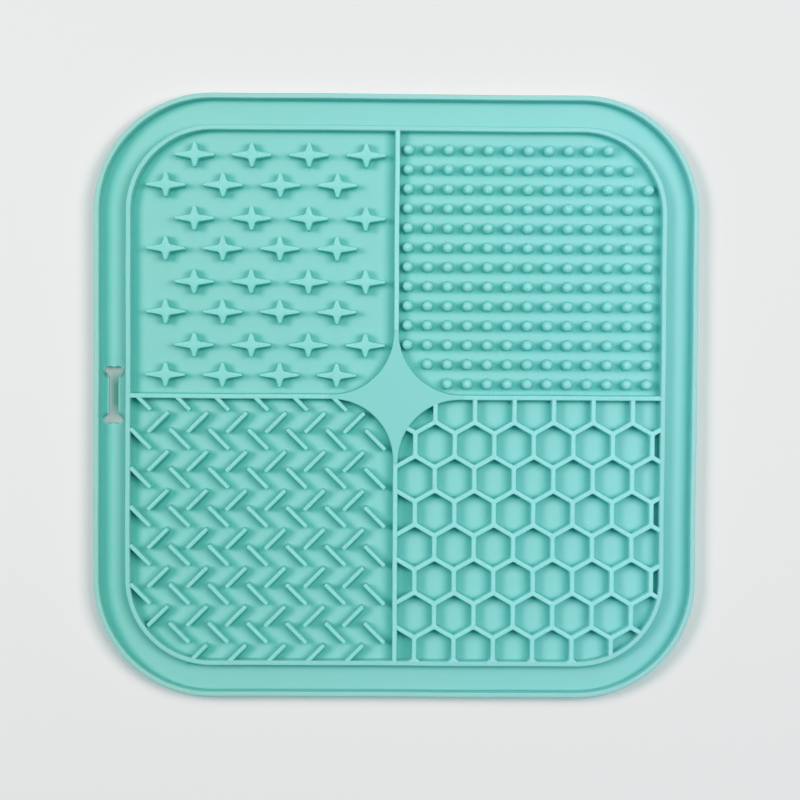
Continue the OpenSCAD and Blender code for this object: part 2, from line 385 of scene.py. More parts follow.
def ridge_mask(x, y):
    """One where a ridge, star, nub, bar or strut stands and zero elsewhere, each pattern told by
    the way to the nearest of its evenly spaced places."""
    ax, ay = np.abs(x), np.abs(y)
    u, v = ax - HALF_DIVIDER, ay - HALF_DIVIDER
    rim = np.where((ax > CORE) & (ay > CORE), np.hypot(ax - CORE, ay - CORE),
                   np.maximum(ax, ay) - CORE)
    stands = (room(u, v) < 0) & (rim < WALL_OUT) | (rim > EDGE_R - LIP_W)
    for s in (0, 1):
        du = np.abs(nearest(u, STAR_U + s * STAR_PU / 2, STAR_PU, 4)[1])
        dv = np.abs(nearest(v, STAR_V + (1 - s) * STAR_STEP, STAR_PV, 4)[1])
        for (reach, half, taper), along, across in zip(STAR_ARMS, (du, dv), (dv, du)):
            stands |= (x < 0) & (y > 0) & (along < reach) & (across < half - taper * along)
    (pu, du), (pv, dv) = nearest(u, NUB_U, NUB_PU, 13), nearest(v, NUB_V, NUB_PV, 13)
    stands |= (x > 0) & (y > 0) & (np.hypot(du, dv) < NUB_R) & (room(pu, pv) >= NUB_R + NUB_GAP)
    for _, first_u, first_v, angle in BARS:
        (pu, du), (pv, dv) = nearest(u, first_u, BAR_PU, 7), nearest(v, first_v, BAR_PV, 7)
        c, s = heading(angle)
        beyond = np.maximum(np.abs(du * c + dv * s) - (BAR_HALF_L - BAR_HALF_W), 0)
        stands |= ((x < 0) & (y < 0) & (np.hypot(beyond, dv * c - du * s) < BAR_HALF_W)
                   & (room(pu, pv) > 0))
    cell = np.full_like(x, CELL)
    for s in (0, 1):
        du = np.abs(nearest(x, s * CELL / 2, CELL, 9)[1])
        dv = np.abs(nearest(v, CELL_V - (2 - s) * CELL_PV, 2 * CELL_PV, 9)[1])
        cell = np.minimum(cell, np.maximum(du, 0.5 * du + SIN_60 * dv))
    stands |= (x > 0) & (y < 0) & (cell > CELL / 2 - STRUT_HALF_W) & (room(u, v) > 0)
    return stands.astype(float)


def shade(mask, azimuth, reach, fade, weight):
    """The mask carried away from the light step by step, fading towards its far end."""
    dx, dy = heading(azimuth)
    cast = np.zeros_like(mask)
    for way in np.arange(GRID, reach, GRID):
        step = (-round(dy * way / GRID), -round(dx * way / GRID))
        cast = np.maximum(cast, np.roll(mask, step, (0, 1)) * min(1.0, (reach - way) / fade))
    return weight * cast


def painted_shade_map():
    """Painted shade at each place, cast from the lamps: up to one by ridges that stand close to the
    west and to the east, and more right at the foot of a ridge, most of all of one that stands
    north."""
    a = np.arange(-EDGE_R - CORE, EDGE_R + CORE + GRID / 2, GRID)
    x, y = np.meshgrid(a, a)
    mask = ridge_mask(x, y)
    # The lamp on its own side of the mat draws the stronger shades
    from_west = shade(mask, *WEST_SHADE) * (1 - SIDE_TREND * x)
    from_east = shade(mask, *EAST_SHADE) * (1 + SIDE_TREND * np.minimum(x, 0))
    # West of the wells the lip shades its gutter further than the wall does
    side = CORE + WALL_OUT
    from_west = np.where(x < -side, shade(mask, *LIP_SHADE), from_west)
    from_west *= np.where(x > side, EAST_GUTTER, 1.0)
    from_east *= np.where(x < -side, WEST_GUTTER, 1.0)
    shade_depth = np.minimum(from_west + from_east, 1.0)
    shade_depth = np.minimum(shade_depth + sum(shade(mask, *foot) for foot in FOOT_SHADES), DEEPEST_SHADE)
    for axis in (0, 1):
        shade_depth = (np.roll(shade_depth, 1, axis) + 2 * shade_depth + np.roll(shade_depth, -1, axis)) / 4
    return shade_depth


SHADE_MAP = painted_shade_map()


def painted_shade_at(points):
    """The painted shade map's value at places of the floor, mixed from the four grid points round
    each.
    """
    fx, fy = ((points[:, k] + EDGE_R + CORE) / GRID for k in (0, 1))
    i = np.clip(fx.astype(int), 0, SHADE_MAP.shape[1] - 2)
    j = np.clip(fy.astype(int), 0, SHADE_MAP.shape[0] - 2)
    sx, sy = fx - i, fy - j
    low = SHADE_MAP[j, i] * (1 - sx) + SHADE_MAP[j, i + 1] * sx
    high = SHADE_MAP[j + 1, i] * (1 - sx) + SHADE_MAP[j + 1, i + 1] * sx
    return low * (1 - sy) + high * sy


def mark_painted_shade(mesh, points, flat, tone):
    """Writes the attribute that paints shade into the silicone's colour: the painted shade map on a
    flat floor, and on a ridge a share that falls from its foot to the start of its rounded top,
    though never below its tone, a painted shade share given for its top."""
    height = points[:, 2]
    if flat:
        share = np.where(height > FLOOR_Z - 0.03, painted_shade_at(points), 0)
    else:
        fall = RIDGE_Z - (UNSHADED_TOP + SHADED_FOOT) - FLOOR_Z
        share = np.clip((RIDGE_Z - UNSHADED_TOP - height) / fall, 0, 1)
        share = np.maximum(share * (height > FLOOR_Z - SUNK), tone)
    values = mesh.attributes.new("painted_shade_share", "FLOAT", "POINT").data
    values.foreach_set("value", share.astype(np.float32))


# Shader nodes

def node_group(name, inputs, outputs):
    """An empty shader group with named inputs and outputs."""
    group = bpy.data.node_groups.new(name, "ShaderNodeTree")
    for label, kind, value in inputs:
        socket = group.interface.new_socket(label, in_out="INPUT", socket_type=kind)
        socket.default_value = value
    for label, kind in outputs:
        group.interface.new_socket(label, in_out="OUTPUT", socket_type=kind)
    return group, group.nodes.new("NodeGroupInput"), group.nodes.new("NodeGroupOutput")


def add(tree, kind, settings=None, **values):
    """A node with its settings, and its inputs set to a value or linked to an output. An input is
    called by its name, or by i and its place."""
    made = tree.nodes.new(kind)
    for key, value in (settings or {}).items():
        setattr(made, key, value)
    for key, value in values.items():
        placed = key[0] == "i" and key[1:].isdigit()
        socket = made.inputs[int(key[1:]) if placed else key.replace("_", " ")]
        if isinstance(value, bpy.types.NodeSocket):
            tree.links.new(value, socket)
        else:
            socket.default_value = value
    return made


def reckon(tree, operation, *values):
    """The result of a sum on plain numbers."""
    inputs = {f"i{k}": value for k, value in enumerate(values)}
    return add(tree, "ShaderNodeMath", {"operation": operation}, **inputs).outputs[0]


def reckon_vector(tree, operation, *values):
    """The result of a sum on vectors or colours."""
    inputs = {f"i{k}": value for k, value in enumerate(values)}
    return add(tree, "ShaderNodeVectorMath", {"operation": operation}, **inputs).outputs[0]


def length(tree, vector):
    """How long a vector is."""
    made = add(tree, "ShaderNodeVectorMath", {"operation": "LENGTH"}, i0=vector)
    return made.outputs["Value"]


def brighter(tree, colour, gain):
    """A colour times a gain."""
    made = add(tree, "ShaderNodeVectorMath", {"operation": "SCALE"}, i0=colour, Scale=gain)
    return made.outputs["Vector"]


def ramp(tree, value, start, end, low=0.0, high=1.0, ease="LINEAR"):
    """A number that runs from low to high while the value runs from start to end."""
    made = add(tree, "ShaderNodeMapRange", {"interpolation_type": ease}, Value=value,
               From_Min=start, From_Max=end, To_Min=low, To_Max=high)
    return made.outputs["Result"]


def blend(tree, share, plain, full):
    """The plain colour at a share of zero, the full one at one, and a mixture between."""
    made = add(tree, "ShaderNodeMix", {"data_type": "RGBA"}, i0=share, i6=plain, i7=full)
    return made.outputs[2]


def noise(tree, place, scale, detail, roughness=0.5):
    """Smooth noise about one half."""
    made = add(tree, "ShaderNodeTexNoise", Vector=place, Scale=scale, Detail=detail,
               Roughness=roughness)
    return made.outputs["Fac"]


def on_object(tree):
    """Places on the object itself."""
    return add(tree, "ShaderNodeTexCoord").outputs["Object"]


# Effects that every silicone skin shares

def moulded_tone():
    """Colour of dyed silicone: the base drifts a little lighter and darker in broad clouds, with a
    faint marbling where the dye is thicker and, by the amount of frost, a fine pale grain."""
    group, ins, outs = node_group(
        "moulded_tone",
        [("Base", "NodeSocketColor", (0.25, 0.66, 0.61, 1)),
         ("Deep", "NodeSocketColor", (0.2, 0.6, 0.56, 1)),
         ("Drift", "NodeSocketFloat", 0.5), ("Frost", "NodeSocketFloat", 0.0)],
        [("Color", "NodeSocketColor")])
    place = on_object(group)
    clouds = noise(group, place, scale=28.0, detail=2.0)
    marbling = noise(group, place, scale=420.0, detail=3.0, roughness=0.6)
    both = reckon(group, "MULTIPLY_ADD", marbling, 0.35, clouds)
    spread = ramp(group, both, 0.45, 0.9, ease="SMOOTHSTEP")
    share = reckon(group, "MULTIPLY", spread, ins.outputs["Drift"])
    mixed = blend(group, share, ins.outputs["Base"], ins.outputs["Deep"])
    grain = reckon(group, "SUBTRACT", noise(group, place, scale=2500.0, detail=1.0), 0.5)
    gain = reckon(group, "MULTIPLY_ADD", grain, ins.outputs["Frost"], 1.0)
    group.links.new(brighter(group, mixed, gain), outs.inputs["Color"])
    return group


def satin_skin():
    """Skin of a moulding from a blasted tool: fine even grain and slow hollows, as a height, and a
    roughness that wanders with the hollows."""
    group, ins, outs = node_group(
        "satin_skin",
        [("Grain", "NodeSocketFloat", 0.3), ("Hollows", "NodeSocketFloat", 1.0),
         ("Roughness", "NodeSocketFloat", 0.42)],
        [("Height", "NodeSocketFloat"), ("Roughness", "NodeSocketFloat")])
    place = on_object(group)
    fine = noise(group, place, scale=2600.0, detail=2.0)
    slow = noise(group, place, scale=70.0, detail=2.0, roughness=0.45)
    grain = reckon(group, "MULTIPLY", fine, ins.outputs["Grain"])
    height = reckon(group, "MULTIPLY_ADD", slow, ins.outputs["Hollows"], grain)
    wander = ramp(group, slow, 0.3, 0.7, low=-0.05, high=0.05)
    rough = reckon(group, "ADD", wander, ins.outputs["Roughness"])
    group.links.new(height, outs.inputs["Height"])
    group.links.new(rough, outs.inputs["Roughness"])
    return group


def dust():
    """Sparse pale specks that cling to silicone: small round cells round a few scattered points."""
    group, ins, outs = node_group("dust", [("Amount", "NodeSocketFloat", 0.5)],
                                  [("Mask", "NodeSocketFloat")])
    cells = add(group, "ShaderNodeTexVoronoi", {"feature": "F1"}, Vector=on_object(group),
                Scale=170.0, Randomness=1.0)
    spot = ramp(group, cells.outputs["Distance"], 0.05, 0.03)
    pick = add(group, "ShaderNodeSeparateColor", Color=cells.outputs["Color"])
    few = reckon(group, "GREATER_THAN", pick.outputs["Red"], 0.965)
    both = reckon(group, "MULTIPLY", spot, few)
    group.links.new(reckon(group, "MULTIPLY", both, ins.outputs["Amount"]), outs.inputs["Mask"])
    return group


def painted_side_light():
    """Painted light, as of cool daylight on one side: the colour is multiplied by a tint that runs
    from a warmer, deeper one at the mat's west side to a cooler, lighter one at its east side, and
    by a gain that grows a little from the south-west corner to the north-east one."""
    group, ins, outs = node_group("painted_side_light", [("Color", "NodeSocketColor", (1, 1, 1, 1))],
                                  [("Color", "NodeSocketColor")])
    half = (CORE + EDGE_R) * MM
    axes = add(group, "ShaderNodeSeparateXYZ", Vector=on_object(group))
    east = ramp(group, axes.outputs["X"], -half, half)
    tint = blend(group, east, (0.985, 0.985, 0.960, 1), (1.035, 1.010, 1.070, 1))
    tinted = reckon_vector(group, "MULTIPLY", ins.outputs["Color"], tint)
    across = reckon(group, "ADD", axes.outputs["X"], axes.outputs["Y"])
    gain = ramp(group, across, -2 * half, 2 * half, low=0.955, high=1.045)
    group.links.new(brighter(group, tinted, gain), outs.inputs["Color"])
    return group


TONE, SKIN, DUST, SIDE_LIGHT = moulded_tone(), satin_skin(), dust(), painted_side_light()


# Skins

# Painted shade colours: the one mixed in near ridges, and the darker one at their feet
PAINTED_SHADE, PAINTED_DEEP_SHADE = (0.135, 0.630, 0.570, 1), (0.028, 0.410, 0.345, 1)
SPECK = (0.72, 0.86, 0.84, 1)


def silicone(name, base, deep, drift, roughness, grain, bump, frost=0.0):
    """Soft satin silicone: dyed colour with painted shade mixed in by an attribute, darker still at
    the feet of ridges, a grained skin, light that enters and spreads a little, and dust."""
    material = bpy.data.materials.new(name)
    material.use_nodes = True
    tree = material.node_tree
    shader = tree.nodes["Principled BSDF"]
    tone = add(tree, "ShaderNodeGroup", {"node_tree": TONE}, Base=(*base, 1), Deep=(*deep, 1),
               Drift=drift, Frost=frost)
    skin = add(tree, "ShaderNodeGroup", {"node_tree": SKIN}, Grain=grain, Roughness=roughness)
    specks = add(tree, "ShaderNodeGroup", {"node_tree": DUST}, Amount=0.6)
    # Painted shade: the attribute pulls the colour towards the shade colour, past one to the darker
    # one
    shade_depth = add(tree, "ShaderNodeAttribute", {"attribute_name": "painted_shade_share"}).outputs["Fac"]
    inner = blend(tree, shade_depth, tone.outputs["Color"], PAINTED_SHADE)
    corner = blend(tree, ramp(tree, shade_depth, 1.0, DEEPEST_SHADE), inner, PAINTED_DEEP_SHADE)
    # Painted side light over the whole colour
    tinted = add(tree, "ShaderNodeGroup", {"node_tree": SIDE_LIGHT}, Color=corner)
    colour = blend(tree, specks.outputs["Mask"], tinted.outputs["Color"], SPECK)
    relief = add(tree, "ShaderNodeBump", Height=skin.outputs["Height"], Strength=bump,
                 Distance=0.0004)
    tree.links.new(colour, shader.inputs["Base Color"])
    tree.links.new(skin.outputs["Roughness"], shader.inputs["Roughness"])
    tree.links.new(relief.outputs["Normal"], shader.inputs["Normal"])
    shader.inputs["IOR"].default_value = 1.41
    shader.inputs["Subsurface Weight"].default_value = 0.35
    shader.inputs["Subsurface Radius"].default_value = (0.35, 1.0, 0.9)
    shader.inputs["Subsurface Scale"].default_value = 0.0009
    return material


# Lighter copies of the floor's colour for the raised pieces: painted light on tops that catch the
# lamps
FLOOR, FLOOR_DEEP = (0.262, 0.672, 0.632), (0.247, 0.658, 0.618)
PLATE, PLATE_DEEP = (0.263, 0.690, 0.650), (0.248, 0.675, 0.636)
WALL, WALL_DEEP = (0.303, 0.705, 0.670), (0.285, 0.688, 0.652)
PALE, PALE_DEEP = (0.302, 0.752, 0.708), (0.282, 0.732, 0.688)
WEB, WEB_DEEP = (0.330, 0.775, 0.745), (0.310, 0.755, 0.725)
RIM, RIM_DEEP = (0.338, 0.685, 0.642), (0.315, 0.675, 0.632)
RAISED = {"drift": 0.3, "grain": 0.22, "bump": 0.12}
floor_skin = silicone("silicone_floor", FLOOR, FLOOR_DEEP, drift=0.5, roughness=0.46, grain=0.30,
                      bump=0.16)
plate_skin = silicone("silicone_plate", PLATE, PLATE_DEEP, drift=0.5, roughness=0.42, grain=0.26,
                      bump=0.14)
wall_skin = silicone("silicone_wall", WALL, WALL_DEEP, roughness=0.42, **RAISED)
ridge_skin = silicone("silicone_ridge", PALE, PALE_DEEP, roughness=0.40, frost=0.25, **RAISED)
web_skin = silicone("silicone_web", WEB, WEB_DEEP, roughness=0.40, frost=0.25, **RAISED)
rim_skin = silicone("silicone_rim", RIM, RIM_DEEP, roughness=0.50, **RAISED)


# Sheet, gutter, lip and wall

PATH, PATH_N = core_square(24, 24)
SKIN_STEP, SKIN_HALF, SKIN_DEPTH, SKIN_INSET = 0.58, 153, 1.9, 0.65
BACK_OVERLAP = 0.05


def well_skin():
    """Upper side of the plate as an even grid, fine enough for the painted shade: the cells whose
    middles lie inside the wall's outline, a thin edge below their border, and a fan underneath."""
    a = np.arange(-SKIN_HALF, SKIN_HALF + 1) * SKIN_STEP
    x, y = np.meshgrid(a, a)
    n = len(a)
    cells = net(n, n, False, False)
    middle = np.stack([x.ravel(), y.ravel()], -1)[cells].mean(1)
    corner = np.abs(middle) - CORE
    round_corner = np.hypot(*corner.T) < WALL_OUT - SKIN_INSET
    cells = cells[(corner.max(1) < 0) | (corner.min(1) < 0) | round_corner]
    points = np.stack([x.ravel(), y.ravel(), np.full(n * n, FLOOR_Z)], -1)
    # The border is made of the sides that only one cell has
    sides = np.concatenate([cells[:, [k, (k + 1) % 4]] for k in range(4)])
    key = np.sort(sides, 1) @ [1, n * n]
    _, first, seen = np.unique(key, return_index=True, return_counts=True)
    border = sides[first[seen == 1]]
    used, place = np.unique(np.concatenate([cells.ravel(), border.ravel()]), return_inverse=True)
    cells, border = place[:cells.size].reshape(-1, 4), place[cells.size:].reshape(-1, 2)
    rim, lower = np.unique(border, return_inverse=True)
    lower = lower.reshape(-1, 2) + len(used)
    below = points[used][rim] - [0, 0, SKIN_DEPTH]
    points = np.concatenate([points[used], below, [[0, 0, FLOOR_Z - SKIN_DEPTH]]])
    edges = np.stack([border[:, 1], border[:, 0], lower[:, 0], lower[:, 1]], -1)
    tris = np.stack([lower[:, 1], lower[:, 0], np.full(len(lower), len(points) - 1)], -1)
    return points, np.concatenate([cells, edges]), tris


def well_back():
    """Back of the plate, a thin sheet below its skin: rings of the rounded square grow from the
    middle underneath, run up its edge and shrink again on top."""
    shrink = np.array([1.0, 0.9, 0.75, 0.6, 0.45, 0.3, 0.15])
    scale = np.concatenate([shrink[::-1], shrink])
    top_z = FLOOR_Z - SKIN_DEPTH + BACK_OVERLAP
    rings = np.empty((len(scale), len(PATH), 3))
    rings[..., :2] = (PATH + PATH_N * WALL_OUT)[None] * scale[:, None, None]
    rings[..., 2] = np.repeat([0, top_z], len(shrink))[:, None]
    return tube(rings, [0, 0, 0], [0, 0, top_z])


CHANNEL_OUT = EDGE_R - LIP_W + 0.25
HOLE_X = -(CORE + EDGE_R - LIP_W - GUTTER_W / 2)
PATCH_Y = 12.0


def channel():
    """Gutter floor: a flat strip carried round the mat from one end of the hole's patch to the
    other, closed by a fan at both ends."""
    on_patch = (PATH_N[:, 0] < -0.9) & (np.abs(PATH[:, 1]) < PATCH_Y)
    first = np.nonzero(on_patch)[0][-1] + 1
    order = (np.arange(len(PATH) - on_patch.sum()) + first) % len(PATH)
    core = np.concatenate([[[-CORE, -PATCH_Y]], PATH[order], [[-CORE, PATCH_Y]]])
    normal = np.concatenate([[[-1, 0]], PATH_N[order], [[-1, 0]]])
    across = np.linspace(CHANNEL_OUT, WALL_OUT, 13)
    section = np.concatenate([[[WALL_OUT, 0], [CHANNEL_OUT, 0]],
                              np.stack([across, np.full_like(across, FLOOR_Z)], -1)])
    rings = swept(core, normal, section)
    return tube(rings, *rings[[0, -1]].mean(1))


BONE_HALF_W, BONE_SIDE_L = 1.5, 5.6

# Arcs of the bone outline: centre, radius, angle from and to, points, and -1 where it is hollow
BONE_ARCS = ((1.9, 5.875, 0.4, 180, 105.6, 6, -1),
             (1.35, 7.85, 1.65, -74.4, 131.2, 20, 1),
             (0, 9.393, 0.4, -48.8, -90, 4, -1))


def bone_quarter():
    """A quarter of the bone outline, from the middle of its side to the middle of its end: a
    straight side, a small fillet, a knuckle and half the dip between two knuckles. Each arc's
    points lie one radius from its centre. Normals point out of the hole."""
    y = np.linspace(0, BONE_SIDE_L, 6)
    lines = [np.stack([np.full_like(y, BONE_HALF_W), y, np.ones_like(y), np.zeros_like(y)], -1)]
    for centre_x, centre_y, radius, start, end, count, out in BONE_ARCS:
        a = np.radians(np.linspace(start, end, count))
        ray = np.stack([np.cos(a), np.sin(a)], -1)
        line = np.concatenate([[centre_x, centre_y] + radius * ray, ray * out], 1)
        # An arc after an arc starts where that one ended
        lines.append(line if len(lines) == 1 else line[1:])
    return np.concatenate(lines)


PATCH_TURN = 0.62
HOLE_FOOT_R, HOLE_TOP_R, HOLE_FLAT = 0.2, 0.5, 0.06


def hole_patch():
    """Piece of the gutter floor round the hanging hole: rings run from a rectangle's edge
    underneath to the hole, up through it, over its rounded upper edge and back on top."""
    quarter = bone_quarter()
    bone = four_quarters(quarter)
    outline, normal = bone[:, :2], bone[:, 2:]
    # The rectangle's quarter is walked in step with the bone's: up its side, then along its end
    walked = np.linalg.norm(np.diff(quarter[:, :2], axis=0), axis=1)
    walked = np.concatenate([[0], np.cumsum(walked)]) / walked.sum()
    on_side = walked < PATCH_TURN
    rect = np.stack([np.where(on_side, 1.0, 1 - (walked - PATCH_TURN) / (1 - PATCH_TURN)),
                     np.where(on_side, walked / PATCH_TURN, 1.0)], -1)
    rect[np.argmin(np.abs(walked - PATCH_TURN))] = (1, 1)
    rect = four_quarters(rect)
    to_wall, to_lip = -HOLE_X - CORE - WALL_OUT, CORE + CHANNEL_OUT + HOLE_X
    half_x = np.where(rect[:, 0] > 0, to_wall, to_lip)
    rect = rect * np.stack([half_x, np.full_like(half_x, PATCH_Y)], -1)
    under = rounding(0, 0, HOLE_FOOT_R, HOLE_FOOT_R, 5, True)
    over = rounding(0, FLOOR_Z, HOLE_TOP_R, -HOLE_TOP_R, 5, False)
    profile = np.concatenate([[[HOLE_FOOT_R + HOLE_FLAT, 0]], under, over,
                              [[HOLE_TOP_R + HOLE_FLAT, FLOOR_Z]]])
    spread = np.array([0.25, 0.5, 0.75, 1.0])
    k = len(profile) + 1
    rings = np.empty((k + len(spread), len(outline), 3))
    rings[1:k] = swept(outline, normal, profile).swapaxes(0, 1)
    rings[0, :, :2] = rect
    rings[k:, :, :2] = rings[k - 1, :, :2] + spread[:, None, None] * (rect - rings[k - 1, :, :2])
    rings[0, :, 2], rings[k:, :, 2] = 0, FLOOR_Z
    rings[..., 0] += HOLE_X
    return hoop(rings)


LIP_LEAN, LIP_FOOT, LIP_FLAT = 0.04, 0.2, 0.06
LIP_BASE_R, LIP_TOP_R, LIP_BACK_R, LIP_HOLLOW_R = 0.4, 0.55, 0.4, 0.2


def lip_section():
    """Lip from the table to its rounded top and down to the gutter: a small rounding at the base,
    an outer side that leans in, two rounded top edges, and a hollow foot on the gutter's floor."""
    inner = EDGE_R - LIP_W
    toe = inner - LIP_FOOT
    base = rounding(EDGE_R, 0, -LIP_BASE_R, LIP_BASE_R, 7, True)
    out = rounding(EDGE_R - LIP_LEAN, LIP_Z, -LIP_TOP_R, -LIP_TOP_R, 7, False)
    flat = [[EDGE_R - LIP_LEAN - LIP_TOP_R - LIP_FLAT, LIP_Z],
            [inner + LIP_BACK_R + LIP_FLAT, LIP_Z]]
    back = rounding(inner, LIP_Z, LIP_BACK_R, -LIP_BACK_R, 7, True)
    hollow = rounding(toe + 0.1, FLOOR_Z, -LIP_HOLLOW_R, LIP_HOLLOW_R, 7, False)
    close = [[toe - 0.2, FLOOR_Z - 0.1], [CHANNEL_OUT, FLOOR_Z - 0.1], [CHANNEL_OUT, 0]]
    return np.concatenate([base, out, flat, back, hollow, close])


WALL_TOP_R, WALL_FILLET = 0.38, 0.22


def wall_section():
    """Inner wall's closed section: one side up to the top, and the other side down again."""
    side = edge(RIDGE_Z, WALL_TOP_R, WALL_FILLET, 6) + [WALL_W / 2, 0]
    return np.concatenate([side, side[::-1] * [-1, 1]]) + [(WALL_OUT + WALL_IN) / 2, 0]


build("base_sheet_plate", [well_skin(), well_back()], ["base_sheet"], floor_skin, flat=True)
build("gutter_floor", [channel(), hole_patch()], ["rim_channel"], floor_skin, flat=True)
build("rounded_lip", [hoop(swept(PATH, PATH_N, lip_section()))], ["outer_lip"], rim_skin)
build("rounded_wall", [hoop(swept(PATH, PATH_N, wall_section()))], ["inner_wall"], wall_skin)


# Middle star and dividers

ARM_OUT, DIVIDER_IN, DIVIDER_OUT = 1.4, 1.5, 0.8
END_R = 0.5
DIVIDER_TOP_R, DIVIDER_FILLET = 0.36, 0.2


def plus_star():
    """Plate whose sides are quarter circles hollowed into the four well corners, with four arm
    ends a hair wider than the dividers."""
    reach, h = HALF_DIVIDER + MIDDLE_R + ARM_OUT, HALF_DIVIDER + 0.004
    corners = sum((turned([(reach, -h), (reach, h), (h, h)], k) for k in range(4)), [])
    outline, normal = rounded(corners, [END_R, END_R, MIDDLE_R] * 4, 24)
    return raised(outline, normal, edge(RIDGE_Z, DIVIDER_TOP_R, DIVIDER_FILLET, 5))


def divider(quarter):
    """A straight ridge from inside the middle star to inside the wall, turned by quarter turns. Its
    top lies a hair below the tops of both."""
    near, far = HALF_DIVIDER + MIDDLE_R - DIVIDER_IN, CORE + WALL_IN + DIVIDER_OUT
    h = HALF_DIVIDER
    corners = turned([(near, -h), (far, -h), (far, h), (near, h)], quarter)
    outline, normal = refined(*rounded(corners, END_R, 4), 4.0)
    return raised(outline, normal, edge(RIDGE_Z - 0.012, DIVIDER_TOP_R, DIVIDER_FILLET, 5))


build("star_plate", [plus_star()], ["middle_star"], plate_skin)
for quarter, side in enumerate(["east", "north", "west", "south"]):
    # The north and south dividers take the lighter web colour: painted light on their tops
    skin = web_skin if side in ("north", "south") else ridge_skin
    build("ridge_" + side, [divider(quarter)], ["divider_" + side], skin)


# Star well

STAR_CORNERS = [(6.52, 0.38), (1.22, 1.25), (0.47, 3.99)]
STAR_RADII = [0.32, 1.0, 0.38]
STAR_CREST = 0.1


def star_outline():
    """Four arms whose straight sides meet in hollow arcs, with small round tips."""
    corners = []
    for sx, sy in ((1, 1), (-1, 1), (-1, -1), (1, -1)):
        quarter = STAR_CORNERS if sx * sy > 0 else STAR_CORNERS[::-1]
        corners += [(sx * x, sy * y) for x, y in quarter]
    return rounded(corners, (STAR_RADII + STAR_RADII[::-1]) * 2, 6)


STAR, STAR_N = star_outline()
STAR_EDGE = edge(STAR_Z - STAR_CREST, 0.24, 0.12, 4)

# Painted shade on a star's top, which leans away from the light towards its south arm: its share
# grows with each millimetre from a line just north of its middle; the two middles stay nearly plain
SHADE_GROWTH, SHADE_LINE, SHADE_MOST, SHADE_MIDDLE = 0.13, 0.4, 0.4, 0.05
SOUTH_SHADE = np.clip(SHADE_GROWTH * (SHADE_LINE - STAR[:, 1]), 0, SHADE_MOST)
STAR_SHADE = np.append(np.tile(SOUTH_SHADE, len(STAR_EDGE)), [SHADE_MIDDLE, SHADE_MIDDLE])


def star(place):
    """One star, whose middle stands a touch higher than the edge of its top."""
    points, quads, tris = raised(STAR + place, STAR_N, STAR_EDGE)
    points[-1, 2] = STAR_Z
    return points, quads, tris


for row in range(1, 9):
    staggered = 1 - row % 2
    u = STAR_U + (np.arange(4) + staggered / 2) * STAR_PU
    v = STAR_V + (4 - (row + 1) // 2) * STAR_PV + (1 - staggered) * STAR_STEP
    build(f"stars_{row}", [star((-HALF_DIVIDER - x, HALF_DIVIDER + v)) for x in u],
          [f"star_row_{row}"], ridge_skin, tone=np.tile(STAR_SHADE, len(u)))


# Nub well

NUB_RISE, NUB_LEAN = 1.25, 0.08


def nub_profile():
    """A peg that leans in a little under a half-round top."""
    dome = np.radians([0, 33, 62])
    shoulder = NUB_Z - NUB_RISE
    over = np.stack([-NUB_LEAN - (NUB_R - NUB_LEAN) * (1 - np.cos(dome)),
                     shoulder + NUB_RISE * np.sin(dome)], -1)
    return np.concatenate([[[0.2, FLOOR_Z - 0.1], [0.02, FLOOR_Z + 0.16]], over])


def nub(place):
    """One nub: sixteen points round, and a centre a touch higher that closes the dome."""
    a = np.arange(16) * math.pi / 8
    ring = np.stack([np.cos(a), np.sin(a)], -1)
    points, quads, tris = raised(ring * NUB_R + place, ring, nub_profile())
    points[-1, 2] = NUB_Z
    return points, quads, tris


for row in range(1, 14):
    u = NUB_U + np.arange(13) * NUB_PU
    v = NUB_V + (13 - row) * NUB_PV
    u = u[room(u, np.full_like(u, v)) >= NUB_R + NUB_GAP]
    build(f"nubs_{row}", [nub((HALF_DIVIDER + x, HALF_DIVIDER + v)) for x in u],
          [f"nub_row_{row}"], ridge_skin)


# Herringbone well

BAR_EDGE = edge(RIDGE_Z - 0.03, 0.34, 0.15, 4)
BAR_IN_WALL = 0.9


def bar(u, v, angle):
    """A bar on its slanting axis, rounded at its free ends; where it runs into a wall it stops at
    the middle of the wall's thickness."""
    along = np.linspace(-BAR_HALF_L, BAR_HALF_L, 193)
    du, dv = heading(angle)
    inside = along[room(u + along * du, v + along * dv) > -BAR_IN_WALL]
    a, b, h = inside[0], inside[-1], BAR_HALF_W
    outline, normal = rounded([(a, -h), (b, -h), (b, h), (a, h)], END_R, 5)
    spin = -np.array([[du, dv], [-dv, du]])
    place = np.array([-HALF_DIVIDER - u, -HALF_DIVIDER - v])
    return raised(outline @ spin + place, normal @ spin, BAR_EDGE)


for row in range(1, 8):
    for kind, first_u, first_v, angle in BARS:
        u = first_u + np.arange(7) * BAR_PU
        v = first_v + (row - 1) * BAR_PV
        u = u[room(u, np.full_like(u, v)) > 0]
        build(f"{kind}_bars_{row}", [bar(x, v, angle) for x in u], [f"{kind}_row_{row}"],
              ridge_skin)


# Honeycomb well

WEB_Z = RIDGE_Z - 0.04
WEB_EDGE = edge(WEB_Z, 0.34, 0.18, 4) + [STRUT_HALF_W, 0]
CORNER_STATION, END_STATION, CORNER_WIDER = 0.5, 0.1, 1.12
STRUT_IN_WALL, STRUT_FREE, FEWEST_STATIONS = 0.8, 0.1, 20


